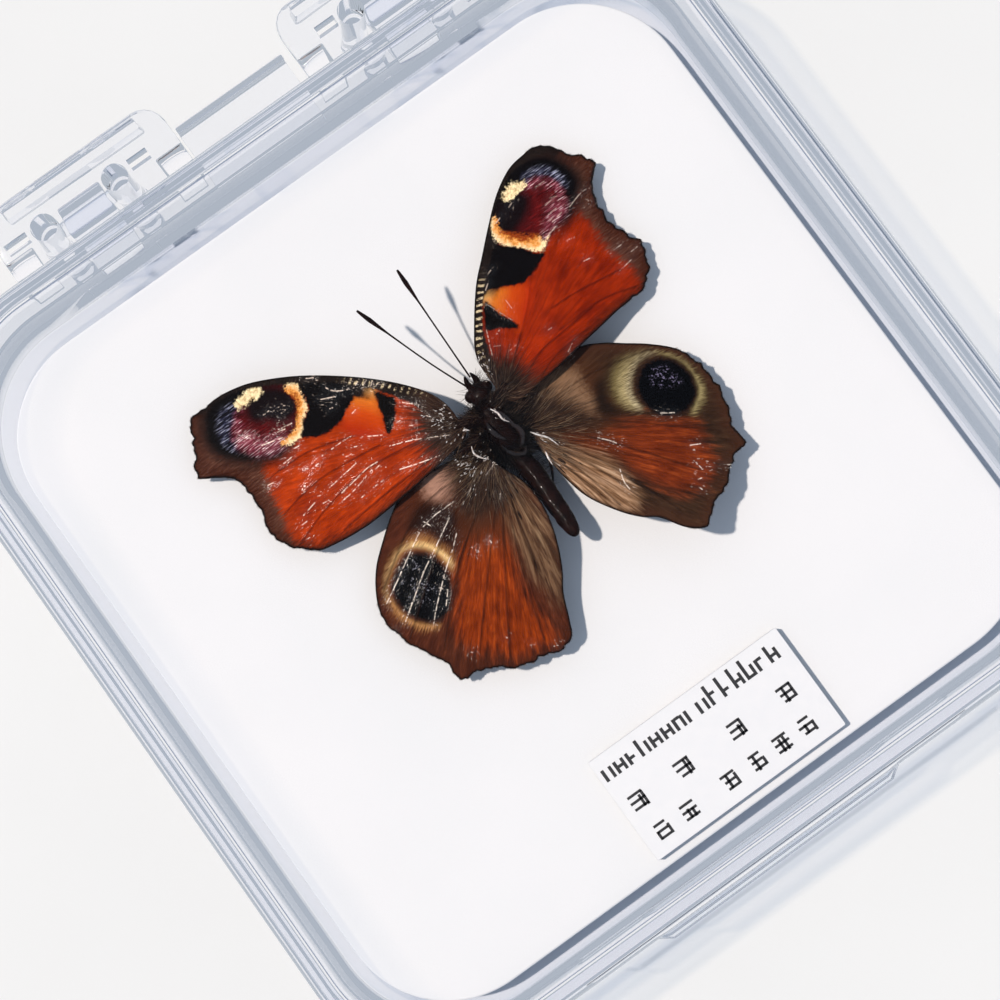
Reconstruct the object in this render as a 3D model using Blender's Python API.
"""A mounted butterfly on a white pad with a label card, in a clear square box with a hinged lid.

The origin is the middle of the box's resting face. +X runs along the hinge, +Y points at the hinge, +Z is up.
Lengths are real sizes in metres, written as millimetres times MM.
"""

import math

import bmesh
import bpy
from mathutils import Matrix, Vector

MM = 0.001
GAP = 0.3 * MM

# Shares of a rounding's radius: the inset halfway along its arc, and the two insets a third of the way along
HALFWAY = 0.293
THIRDS = (0.134, 0.5)

# Clear box: two rounded square shells that meet halfway up
CASE_SIDE = 90 * MM
CASE_HEIGHT = 20 * MM
CORNER_RADIUS = 15 * MM
WALL = 1.8 * MM
FLOOR = 1.5 * MM
PARTING = 10 * MM
RIM_GAP = 0.15 * MM
BOTTOM_ROUND = 0.8 * MM
TOP_ROUND = 1.6 * MM
CORNER_STEPS = 9
INNER_FLOOR_ROUND = 1.2 * MM
INNER_TOP_ROUND = 1.0 * MM
LIP_INSET = 1.0 * MM
LIP_RISE = 1.0 * MM

# Hinge: each leaf of the lid carries two round posts with a pin between them, which turns in a lug of the tray.
# Short posts of the tray stand under the lid's
AXIS_Y = 49.1 * MM
AXIS_Z = 10 * MM
HINGE_OUTER_Y = 52.8 * MM
LEAF_MIDDLE_X = 18 * MM
LEAF_WIDTH = 21.6 * MM
LEAF_LOW = 16.4 * MM
LEAF_HIGH = 18.2 * MM
LEAF_CORNER = 2.6 * MM
LEAF_CORNER_STEPS = 4
SKIRT_LOW = 13.6 * MM
SKIRT_DEPTH = 1.3 * MM
SKIRT_OVERLAP = 0.6 * MM
SKIRT_SETBACK = 0.2 * MM
GUSSET_WIDTH = 3.0 * MM
GUSSET_LOW = 12.2 * MM
GUSSET_REACH_Y = 47.6 * MM
POST_MIDDLE_X = 19.1 * MM
POST_SPACING = 8.8 * MM
POST_Y = 48.6 * MM
POST_RADIUS = 1.4 * MM
LID_POST_LOW = 8.0 * MM
TRAY_POST = (2.4 * MM, 6.9 * MM)
POST_WEB_HALF = 0.7 * MM
POST_SINK = 0.4 * MM
PIN_RADIUS = 0.8 * MM
LUG_WIDTH = 5.2 * MM
LUG_RADIUS = 2.1 * MM
LUG_LOW = 7.0 * MM
LUG_NECK = 9.2 * MM
LUG_ARC = (-70, 150)
LUG_STEPS = 10
HINGE_BAR_HALF = 6.8 * MM
HINGE_BAR_Y = 51.2 * MM
HINGE_BAR_LOW = 7.2 * MM
HINGE_BAR_HIGH = 9.6 * MM
HINGE_RIB = 0.8 * MM
HINGE_RIB_HIGH = 10.8 * MM
INTO_WALL = 0.7 * MM
SLOT_SPANS = ((10.5 * MM, 12.8 * MM), (25.3 * MM, 27.9 * MM))
SLOT_DEPTH = (48.0 * MM, 49.0 * MM)
ROUND_STEPS = 16
PIN_STEPS = 12

# Front catch: a thumb tab on each shell
CATCH_HALF = 14.5 * MM
CATCH_REACH = 1.5 * MM
CATCH_BASE_HALF = 23.5 * MM
CATCH_BASE_REACH = 0.5 * MM
CATCH_SLOPE = 1.0 * MM
LID_CATCH = (10.7 * MM, 13.4 * MM)
TRAY_CATCH = (6.6 * MM, 9.3 * MM)
TRAY_CATCH_SHORTER = 0.5 * MM

# White pad on the tray's floor
PAD_HALF_X = 41.5 * MM
PAD_BACK = 40.6 * MM
PAD_FRONT = -41.4 * MM
PAD_THICK = 3.0 * MM
PAD_CORNER = 12 * MM
PAD_EDGE = 0.3 * MM
PAD_TOP = FLOOR + GAP + PAD_THICK

# Label card on the pad
LABEL_LOW = (-10.4 * MM, -40.0 * MM)
LABEL_HIGH = (13.6 * MM, -27.6 * MM)
LABEL_THICK = 1.0 * MM

# Specimen: heights are above the table, places are across the box
WING_THICK = 0.4 * MM
WING_RINGS = (0.4, 0.75, 1.0)
SPLINE_STEPS = 3
BODY_SIDES = 14
LEG_RADIUS = 0.2 * MM
ANTENNA_RADIUS = 0.2 * MM
CLUB_SWELL = 2.0
ROD_BEVEL_STEPS = 1
ROD_LENGTH_STEPS = 4
BODY_SHARP_DEGREES = 60

# Each wing: its middle, then its edge from the root along the front edge, as (x, y, z) in millimetres
WINGS = {
    "forewing_left": (
        (-12.5, 14.0, 8.5),
        [
            (-0.6, 8.3, 9.5), (-0.7, 11.2, 9.5), (-2.2, 14.2, 9.2), (-5.7, 18.1, 8.6), (-10.6, 22.1, 8.0),
            (-15.1, 24.7, 7.5), (-18.2, 25.7, 7.2), (-21.0, 25.9, 7.0), (-23.3, 25.6, 6.9),
            (-24.6, 23.1, 6.8), (-26.1, 20.7, 6.7), (-25.8, 19.9, 6.7), (-23.1, 17.7, 6.8),
            (-22.8, 13.7, 6.8), (-23.3, 10.6, 6.8), (-22.4, 8.6, 6.9), (-20.5, 6.7, 7.0), (-18.1, 6.0, 7.2),
            (-14.6, 5.6, 7.8), (-11.1, 5.7, 8.4), (-8.0, 5.9, 8.9), (-4.0, 6.4, 9.4), (-1.0, 7.0, 9.5),
        ],
    ),
    "forewing_right": (
        (16.0, 17.0, 8.0),
        [
            (4.5, 10.4, 9.5), (4.8, 13.2, 9.4), (6.3, 15.7, 9.0), (9.1, 19.3, 8.4), (11.5, 21.6, 8.0),
            (14.4, 24.3, 7.5), (16.8, 26.3, 7.2), (19.3, 27.7, 7.0), (21.4, 28.1, 6.9), (23.3, 28.1, 6.8),
            (24.9, 26.7, 6.7), (25.7, 25.3, 6.7), (27.3, 23.2, 6.6), (26.4, 22.2, 6.6), (25.4, 20.8, 6.6),
            (24.8, 17.8, 6.6), (25.5, 14.5, 6.6), (26.2, 13.2, 6.6), (25.3, 10.6, 6.7), (24.0, 9.3, 6.9),
            (22.5, 8.9, 7.2), (19.9, 8.7, 7.8), (17.5, 8.3, 8.4), (15.0, 7.9, 9.0), (11.4, 7.3, 9.5),
            (8.3, 7.0, 9.6), (5.0, 7.2, 9.6),
        ],
    ),
    "hindwing_left": (
        (-9.0, -4.0, 8.0),
        [
            (-0.9, 5.4, 8.1), (-3.5, 6.0, 8.1), (-6.5, 6.4, 7.9), (-9.8, 6.2, 7.5), (-12.0, 5.1, 7.3),
            (-14.3, 3.4, 7.2), (-16.4, 1.6, 7.1), (-18.0, -0.6, 7.0), (-18.9, -2.8, 6.9),
            (-18.9, -4.9, 6.9), (-17.8, -7.9, 6.9), (-16.3, -10.8, 6.9), (-16.1, -13.1, 6.9),
            (-14.5, -13.3, 7.0), (-12.4, -14.1, 7.1), (-10.5, -15.5, 7.2), (-7.8, -16.0, 7.3),
            (-5.6, -16.7, 7.4), (-4.1, -16.0, 7.5), (-3.3, -14.6, 7.6), (-2.2, -12.0, 7.9),
            (-0.9, -10.0, 8.3), (0.2, -7.7, 9.0), (1.0, -5.3, 9.7), (1.4, -2.7, 9.4), (1.2, -0.3, 9.1),
            (0.3, 2.2, 8.7),
        ],
    ),
    "hindwing_right": (
        (14.0, -3.0, 8.4),
        [
            (5.0, 5.2, 8.1), (7.5, 7.3, 8.0), (10.5, 8.2, 7.8), (14.0, 8.0, 7.6), (16.4, 6.9, 7.5),
            (18.3, 5.5, 7.4), (20.5, 3.8, 7.3), (22.5, 1.7, 7.2), (23.5, -0.7, 7.2), (23.6, -4.0, 7.3),
            (23.0, -6.8, 7.4), (22.3, -8.3, 7.4), (22.5, -10.4, 7.5), (20.8, -10.7, 7.8),
            (19.5, -11.6, 8.2), (18.2, -12.8, 8.8), (16.0, -13.6, 9.4), (13.7, -15.1, 10.2),
            (11.9, -13.9, 10.0), (10.3, -11.5, 9.6), (8.8, -10.3, 9.4), (7.2, -8.3, 9.2), (5.6, -5.4, 9.0),
            (4.9, -2.6, 8.8), (4.6, 0.4, 8.6), (4.7, 2.8, 8.4),
        ],
    ),
}

# Head, thorax and abdomen as one skin: (y, x, z, half width, half height) in millimetres, head first
BODY_STATIONS = [
    (11.3, 3.0, 7.4, 0.25, 0.3), (11.1, 3.0, 7.4, 0.8, 0.75), (10.5, 2.95, 7.5, 1.25, 1.1),
    (9.8, 2.9, 7.6, 1.3, 1.2), (9.3, 2.8, 7.6, 1.1, 1.15), (8.9, 2.75, 7.55, 1.3, 1.5),
    (8.0, 2.6, 7.5, 1.9, 2.1), (6.6, 2.4, 7.5, 2.2, 2.4), (5.0, 2.3, 7.5, 2.15, 2.4),
    (3.5, 2.3, 7.4, 1.8, 2.0), (2.5, 2.4, 7.4, 1.2, 1.3), (1.6, 2.5, 7.4, 1.05, 1.1),
    (0.2, 2.6, 7.5, 1.15, 1.15), (-1.5, 2.6, 7.7, 1.15, 1.1), (-3.2, 2.55, 8.0, 1.05, 1.0),
    (-4.9, 2.5, 8.3, 1.0, 0.95), (-6.4, 2.45, 8.6, 0.9, 0.85), (-7.6, 2.4, 8.8, 0.6, 0.6),
    (-8.0, 2.4, 8.9, 0.2, 0.2),
]

EYE_MIDDLE = (2.93, 10.25, 7.75)
EYE_APART = 1.9 * MM
EYE_RADIUS = 0.72 * MM
EYE_SEGMENTS = 12
EYE_RINGS = 8

# Folded legs under the thorax, as points in millimetres
LEGS = {
    "leg_middle_left": [(0.9, 6.6, 5.5), (-0.6, 6.2, 5.4), (-1.4, 4.6, 5.35), (-0.6, 2.6, 5.35)],
    "leg_middle_right": [(3.9, 6.6, 5.5), (5.4, 6.1, 5.4), (6.1, 4.4, 5.35), (5.2, 2.4, 5.35)],
    "leg_hind_left": [(1.2, 3.0, 5.4), (0.1, 1.9, 5.4), (0.3, 0.1, 5.35), (1.4, -1.6, 5.35)],
    "leg_hind_right": [(3.6, 3.0, 5.4), (4.9, 1.6, 5.4), (4.6, -0.4, 5.35), (3.5, -2.2, 5.35)],
}

# Antennae from the head to the club's tip, as points in millimetres
ANTENNAE = {
    "antenna_left": [(2.15, 11.4, 8.5), (0.5, 15.3, 9.6), (-1.1, 19.6, 11.0), (-2.6, 23.7, 12.7)],
    "antenna_right": [(3.05, 11.9, 8.5), (3.1, 16.0, 9.8), (3.15, 20.4, 11.2), (3.2, 24.7, 12.8)],
}


def clear_scene():
    for thing in list(bpy.data.objects):
        bpy.data.objects.remove(thing, do_unlink=True)


def make_material(name, colour, roughness, transmission=0.0, coat=0.0):
    material = bpy.data.materials.new(name)
    material.use_nodes = True
    shader = material.node_tree.nodes["Principled BSDF"]
    shader.inputs["Base Color"].default_value = (*colour, 1.0)
    shader.inputs["Roughness"].default_value = roughness
    shader.inputs["Metallic"].default_value = 0.0
    shader.inputs["Transmission Weight"].default_value = transmission
    shader.inputs["Coat Weight"].default_value = coat
    material.diffuse_color = (*colour, 0.35 if transmission else 1.0)
    return material


def add_object(name, shape, material):
    mesh = bpy.data.meshes.new(name)
    bmesh.ops.recalc_face_normals(shape, faces=shape.faces)
    shape.to_mesh(mesh)
    shape.free()
    thing = bpy.data.objects.new(name, mesh)
    bpy.context.collection.objects.link(thing)
    if material is not None:
        mesh.materials.append(material)
    return thing


def shade_round(thing, sharp_degrees=35):
    thing.data.shade_smooth()
    thing.data.set_sharp_from_angle(angle=math.radians(sharp_degrees))


def add_boolean(thing, other, operation):
    """Joins or cuts thing with another object, which then only guides."""
    other.hide_render = True
    other.display_type = "WIRE"
    modifier = thing.modifiers.new(other.name, "BOOLEAN")
    modifier.operation = operation
    modifier.solver = "EXACT"
    modifier.object = other


def rounded_outline(low_x, high_x, low_y, high_y, radius, steps):
    """The corners of a rectangle turned into arcs, anticlockwise from the right front corner."""
    centres = [
        (high_x - radius, low_y + radius, -90), (high_x - radius, high_y - radius, 0),
        (low_x + radius, high_y - radius, 90), (low_x + radius, low_y + radius, 180),
    ]
    points = []
    for x, y, start in centres:
        for step in range(steps + 1):
            angle = math.radians(start + 90 * step / steps)
            points.append((x + radius * math.cos(angle), y + radius * math.sin(angle)))
    return points


def loft(shape, rings):
    """Joins closed rings of points one after another and closes both ends with a flat face."""
    loops = [[shape.verts.new(point) for point in ring] for ring in rings]
    count = len(loops[0])
    for lower, upper in zip(loops, loops[1:]):
        for i in range(count):
            j = (i + 1) % count
            shape.faces.new((lower[i], lower[j], upper[j], upper[i]))
    shape.faces.new(list(reversed(loops[0])))
    shape.faces.new(loops[-1])


def case_ring(inset, z):
    half = CASE_SIDE / 2 - inset
    radius = CORNER_RADIUS - inset
    outline = rounded_outline(-half, half, -half, half, radius, CORNER_STEPS)
    return [(x, y, z) for x, y in outline]


def extrude_along_x(shape, outline, low_x, high_x):
    """A solid between two x places, from an outline of (y, z) points."""
    loft(shape, [[(x, y, z) for y, z in outline] for x in (low_x, high_x)])


def extrude_up(shape, outline, low_z, high_z):
    """A solid between two heights, from an outline of (x, y) points."""
    loft(shape, [[(x, y, z) for x, y in outline] for z in (low_z, high_z)])


def circle(radius, middle, steps=ROUND_STEPS):
    angles = [2 * math.pi * i / steps for i in range(steps)]
    return [(middle[0] + radius * math.cos(a), middle[1] + radius * math.sin(a)) for a in angles]


def catch_outline(half, reach, base_half, base_reach):
    """The thumb tab seen from above, its back edge buried in the front wall."""
    front = -CASE_SIDE / 2
    right = [
        (half - CATCH_SLOPE, front - reach), (half, front - base_reach - CATCH_SLOPE / 2),
        (half + CATCH_SLOPE / 2, front - base_reach), (base_half - CATCH_SLOPE, front - base_reach),
        (base_half, front + INTO_WALL),
    ]
    left = [(-x, y) for x, y in reversed(right)]
    return left + right


def post_places(*sides):
    """The x places of the two posts on each side given, or on both sides."""
    return [side * POST_MIDDLE_X + edge * POST_SPACING / 2 for side in sides or (-1, 1) for edge in (-1, 1)]


def build_tray(material):
    shape = bmesh.new()
    loft(shape, [
        case_ring(BOTTOM_ROUND, 0),
        case_ring(BOTTOM_ROUND * HALFWAY, BOTTOM_ROUND * HALFWAY),
        case_ring(0, BOTTOM_ROUND),
        case_ring(0, PARTING - RIM_GAP),
        case_ring(LIP_INSET, PARTING - RIM_GAP),
        case_ring(LIP_INSET, PARTING + LIP_RISE),
        case_ring(WALL, PARTING + LIP_RISE),
        case_ring(WALL, FLOOR + INNER_FLOOR_ROUND),
        case_ring(WALL + INNER_FLOOR_ROUND * HALFWAY, FLOOR + INNER_FLOOR_ROUND * HALFWAY),
        case_ring(WALL + INNER_FLOOR_ROUND, FLOOR),
    ])
    tray = add_object("tray", shape, material)

    wall_y = CASE_SIDE / 2 - INTO_WALL
    shape = bmesh.new()
    for side in (-1, 1):
        middle = side * POST_MIDDLE_X
        lug = [(wall_y, LUG_LOW)]
        for step in range(LUG_STEPS + 1):
            angle = math.radians(LUG_ARC[0] + (LUG_ARC[1] - LUG_ARC[0]) * step / LUG_STEPS)
            lug.append((AXIS_Y + LUG_RADIUS * math.cos(angle), AXIS_Z + LUG_RADIUS * math.sin(angle)))
        lug.append((wall_y, LUG_NECK))
        extrude_along_x(shape, lug, middle - LUG_WIDTH / 2, middle + LUG_WIDTH / 2)
    bar = [
        (wall_y, HINGE_BAR_LOW), (HINGE_BAR_Y - HINGE_RIB, HINGE_BAR_LOW),
        (HINGE_BAR_Y, HINGE_BAR_LOW + HINGE_RIB), (HINGE_BAR_Y, HINGE_RIB_HIGH),
        (HINGE_BAR_Y - HINGE_RIB, HINGE_RIB_HIGH), (HINGE_BAR_Y - HINGE_RIB, HINGE_BAR_HIGH),
        (wall_y, HINGE_BAR_HIGH),
    ]
    extrude_along_x(shape, bar, -HINGE_BAR_HALF, HINGE_BAR_HALF)
    extrude_up(shape, catch_outline(CATCH_HALF, CATCH_REACH - TRAY_CATCH_SHORTER, CATCH_BASE_HALF,
                                    CATCH_BASE_REACH), *TRAY_CATCH)
    add_boolean(tray, add_object("tray_fittings", shape, None), "UNION")

    webs = bmesh.new()
    posts = bmesh.new()
    for post_x in post_places():
        web = [(post_x - POST_WEB_HALF, wall_y), (post_x + POST_WEB_HALF, wall_y),
               (post_x + POST_WEB_HALF, POST_Y), (post_x - POST_WEB_HALF, POST_Y)]
        extrude_up(webs, web, TRAY_POST[0] + GAP, TRAY_POST[1] - GAP)
        extrude_up(posts, circle(POST_RADIUS, (post_x, POST_Y)), *TRAY_POST)
    add_boolean(tray, add_object("tray_post_webs", webs, None), "UNION")
    add_boolean(tray, add_object("tray_posts", posts, None), "UNION")

    shape = bmesh.new()
    for side in (-1, 1):
        middle = side * POST_MIDDLE_X
        hole = circle(PIN_RADIUS + GAP, (AXIS_Y, AXIS_Z))
        extrude_along_x(shape, hole, middle - LUG_WIDTH, middle + LUG_WIDTH)
    add_boolean(tray, add_object("tray_pin_holes", shape, None), "DIFFERENCE")
    shade_round(tray)
    return tray


def leaf_outline(middle_x):
    """A hinge leaf seen from above, its outer corners rounded and its back buried in the wall."""
    low_x = middle_x - LEAF_WIDTH / 2
    high_x = middle_x + LEAF_WIDTH / 2
    wall_y = CASE_SIDE / 2 - INTO_WALL
    points = [(low_x, wall_y), (high_x, wall_y)]
    for x, start in ((high_x - LEAF_CORNER, 0), (low_x + LEAF_CORNER, 90)):
        for step in range(LEAF_CORNER_STEPS + 1):
            angle = math.radians(start + 90 * step / LEAF_CORNER_STEPS)
            points.append((x + LEAF_CORNER * math.cos(angle),
                           HINGE_OUTER_Y - LEAF_CORNER + LEAF_CORNER * math.sin(angle)))
    return points


def build_lid(material):
    ceiling = CASE_HEIGHT - FLOOR
    skirt_inset = LIP_INSET - GAP
    shape = bmesh.new()
    loft(shape, [
        case_ring(WALL + INNER_TOP_ROUND, ceiling),
        case_ring(WALL + INNER_TOP_ROUND * HALFWAY, ceiling - INNER_TOP_ROUND * HALFWAY),
        case_ring(WALL, ceiling - INNER_TOP_ROUND),
        case_ring(WALL, PARTING + LIP_RISE + GAP),
        case_ring(skirt_inset, PARTING + LIP_RISE + GAP),
        case_ring(skirt_inset, PARTING + RIM_GAP),
        case_ring(0, PARTING + RIM_GAP),
        case_ring(0, CASE_HEIGHT - TOP_ROUND),
        case_ring(TOP_ROUND * THIRDS[0], CASE_HEIGHT - TOP_ROUND * THIRDS[1]),
        case_ring(TOP_ROUND * THIRDS[1], CASE_HEIGHT - TOP_ROUND * THIRDS[0]),
        case_ring(TOP_ROUND, CASE_HEIGHT),
    ])
    lid = add_object("lid", shape, material)

    leaves = bmesh.new()
    skirts = bmesh.new()
    posts = bmesh.new()
    pins = bmesh.new()
    slots = bmesh.new()
    skirt_outer = HINGE_OUTER_Y - SKIRT_SETBACK
    for side in (-1, 1):
        middle = side * LEAF_MIDDLE_X
        extrude_up(leaves, leaf_outline(middle), LEAF_LOW, LEAF_HIGH)
        skirt = [
            (skirt_outer - SKIRT_DEPTH, SKIRT_LOW), (skirt_outer, SKIRT_LOW),
            (skirt_outer, LEAF_LOW + SKIRT_OVERLAP), (skirt_outer - SKIRT_DEPTH, LEAF_LOW + SKIRT_OVERLAP),
        ]
        half = LEAF_WIDTH / 2 - LEAF_CORNER
        extrude_along_x(skirts, skirt, middle - half, middle + half)
        gusset = [
            (CASE_SIDE / 2 - INTO_WALL, GUSSET_LOW), (CASE_SIDE / 2 + INTO_WALL, GUSSET_LOW),
            (GUSSET_REACH_Y, LEAF_LOW - INTO_WALL), (GUSSET_REACH_Y, LEAF_LOW + SKIRT_OVERLAP),
            (CASE_SIDE / 2 - INTO_WALL, LEAF_LOW + SKIRT_OVERLAP),
        ]
        for edge in (-1, 1):
            outer = middle + edge * (LEAF_WIDTH / 2 - SKIRT_SETBACK)
            inner = outer - edge * GUSSET_WIDTH
            extrude_along_x(skirts, gusset, min(outer, inner), max(outer, inner))
        for post_x in post_places(side):
            extrude_up(posts, circle(POST_RADIUS, (post_x, POST_Y)), LID_POST_LOW, LEAF_HIGH - POST_SINK)
        extrude_along_x(pins, circle(PIN_RADIUS, (AXIS_Y, AXIS_Z), PIN_STEPS), *post_places(side))
        for near, far in SLOT_SPANS:
            corners = sorted((side * near, side * far))
            extrude_up(slots, [(corners[0], SLOT_DEPTH[0]), (corners[1], SLOT_DEPTH[0]),
                               (corners[1], SLOT_DEPTH[1]), (corners[0], SLOT_DEPTH[1])],
                       LEAF_LOW - INTO_WALL, LEAF_HIGH + INTO_WALL)
    add_boolean(lid, add_object("lid_leaves", leaves, None), "UNION")
    add_boolean(lid, add_object("lid_skirts", skirts, None), "UNION")
    add_boolean(lid, add_object("lid_posts", posts, None), "UNION")
    add_boolean(lid, add_object("lid_pins", pins, None), "UNION")
    add_boolean(lid, add_object("lid_slots", slots, None), "DIFFERENCE")

    shape = bmesh.new()
    extrude_up(shape, catch_outline(CATCH_HALF, CATCH_REACH, CATCH_BASE_HALF, CATCH_BASE_REACH), *LID_CATCH)
    add_boolean(lid, add_object("lid_catch", shape, None), "UNION")
    shade_round(lid)
    return lid


def build_pad(material):
    shape = bmesh.new()
    low = FLOOR + GAP
    rings = []
    for inset, z in ((PAD_EDGE, low), (0, low + PAD_EDGE), (0, PAD_TOP - PAD_EDGE), (PAD_EDGE, PAD_TOP)):
        outline = rounded_outline(-PAD_HALF_X + inset, PAD_HALF_X - inset, PAD_FRONT + inset,
                                  PAD_BACK - inset, PAD_CORNER - inset, CORNER_STEPS)
        rings.append([(x, y, z) for x, y in outline])
    loft(shape, rings)
    return add_object("pad", shape, material)


def build_label(material):
    shape = bmesh.new()
    corners = [
        LABEL_LOW, (LABEL_HIGH[0], LABEL_LOW[1]), LABEL_HIGH, (LABEL_LOW[0], LABEL_HIGH[1]),
    ]
    extrude_up(shape, corners, PAD_TOP + GAP, PAD_TOP + GAP + LABEL_THICK)
    return add_object("label", shape, material)


def smooth_loop(points, steps):
    """A closed Catmull-Rom spline through the points."""
    knots = [Vector(p) for p in points]
    count = len(knots)
    curve = []
    for i in range(count):
        a, b, c, d = (knots[(i + k) % count] for k in (-1, 0, 1, 2))
        for step in range(steps):
            t = step / steps
            curve.append(0.5 * (2 * b + (c - a) * t + (2 * a - 5 * b + 4 * c - d) * t ** 2
                                + (3 * b - a - 3 * c + d) * t ** 3))
    return curve


def build_wing(name, middle, edge, material):
    """A thin membrane: rings of points from its middle to its edge, above and below."""
    centre = Vector(middle) * MM
    outline = [point * MM for point in smooth_loop(edge, SPLINE_STEPS)]
    shape = bmesh.new()
    sides = []
    for lift in (WING_THICK / 2, -WING_THICK / 2):
        up = Vector((0, 0, lift))
        hub = shape.verts.new(centre + up)
        rings = [[shape.verts.new(centre.lerp(point, share) + up) for point in outline]
                 for share in WING_RINGS]
        count = len(outline)
        for i in range(count):
            j = (i + 1) % count
            shape.faces.new((hub, rings[0][i], rings[0][j]))
            for inner, outer in zip(rings, rings[1:]):
                shape.faces.new((inner[i], outer[i], outer[j], inner[j]))
        sides.append(rings[-1])
    top, bottom = sides
    for i in range(len(top)):
        j = (i + 1) % len(top)
        shape.faces.new((top[i], bottom[i], bottom[j], top[j]))
    wing = add_object(name, shape, material)
    shade_round(wing)
    return wing


def build_body(material):
    shape = bmesh.new()
    rings = []
    for y, x, z, half_width, half_height in BODY_STATIONS:
        outline = [2 * math.pi * i / BODY_SIDES for i in range(BODY_SIDES)]
        rings.append([((x + half_width * math.cos(a)) * MM, y * MM, (z + half_height * math.sin(a)) * MM)
                      for a in outline])
    loft(shape, rings)
    body = add_object("butterfly_body", shape, material)
    eyes = bmesh.new()
    for side in (-1, 1):
        place = Matrix.Translation(Vector(EYE_MIDDLE) * MM + Vector((side * EYE_APART / 2, 0, 0)))
        bmesh.ops.create_uvsphere(eyes, u_segments=EYE_SEGMENTS, v_segments=EYE_RINGS,
                                  radius=EYE_RADIUS, matrix=place)
    add_boolean(body, add_object("body_eyes", eyes, None), "UNION")
    shade_round(body, BODY_SHARP_DEGREES)
    return body


def build_rod(name, points, radius, tip_swell, material):
    """A tube with closed ends along a smooth line, its far end swollen by a factor."""
    curve = bpy.data.curves.new(name, "CURVE")
    curve.dimensions = "3D"
    curve.bevel_depth = radius
    curve.bevel_resolution = ROD_BEVEL_STEPS
    curve.use_fill_caps = True
    curve.resolution_u = ROD_LENGTH_STEPS
    spline = curve.splines.new("BEZIER")
    spline.bezier_points.add(len(points) - 1)
    for knot, point in zip(spline.bezier_points, points):
        knot.co = Vector(point) * MM
        knot.handle_left_type = "AUTO"
        knot.handle_right_type = "AUTO"
    spline.bezier_points[-1].radius = tip_swell
    curve.materials.append(material)
    rod = bpy.data.objects.new(name, curve)
    bpy.context.collection.objects.link(rod)
    return rod


def build_all():
    clear_scene()
    clear_plastic = make_material("clear_plastic", (0.93, 0.95, 0.97), 0.05, transmission=1.0)
    white_pad = make_material("white_pad", (0.9, 0.9, 0.9), 0.7)
    label_card = make_material("label_card", (0.92, 0.92, 0.91), 0.6)
    wing_red = make_material("wing_red", (0.45, 0.06, 0.015), 0.5, coat=0.3)
    wing_brown = make_material("wing_brown", (0.2, 0.075, 0.03), 0.5, coat=0.3)
    dark_hair = make_material("dark_hair", (0.03, 0.02, 0.015), 0.6)

    build_tray(clear_plastic)
    build_lid(clear_plastic)
    build_pad(white_pad)
    build_label(label_card)
    for name, (middle, edge) in WINGS.items():
        build_wing(name, middle, edge, wing_red if name.startswith("fore") else wing_brown)
    build_body(dark_hair)
    for name, points in LEGS.items():
        build_rod(name, points, LEG_RADIUS, 1.0, dark_hair)
    for name, points in ANTENNAE.items():
        build_rod(name, points, ANTENNA_RADIUS, CLUB_SWELL, dark_hair)


build_all()
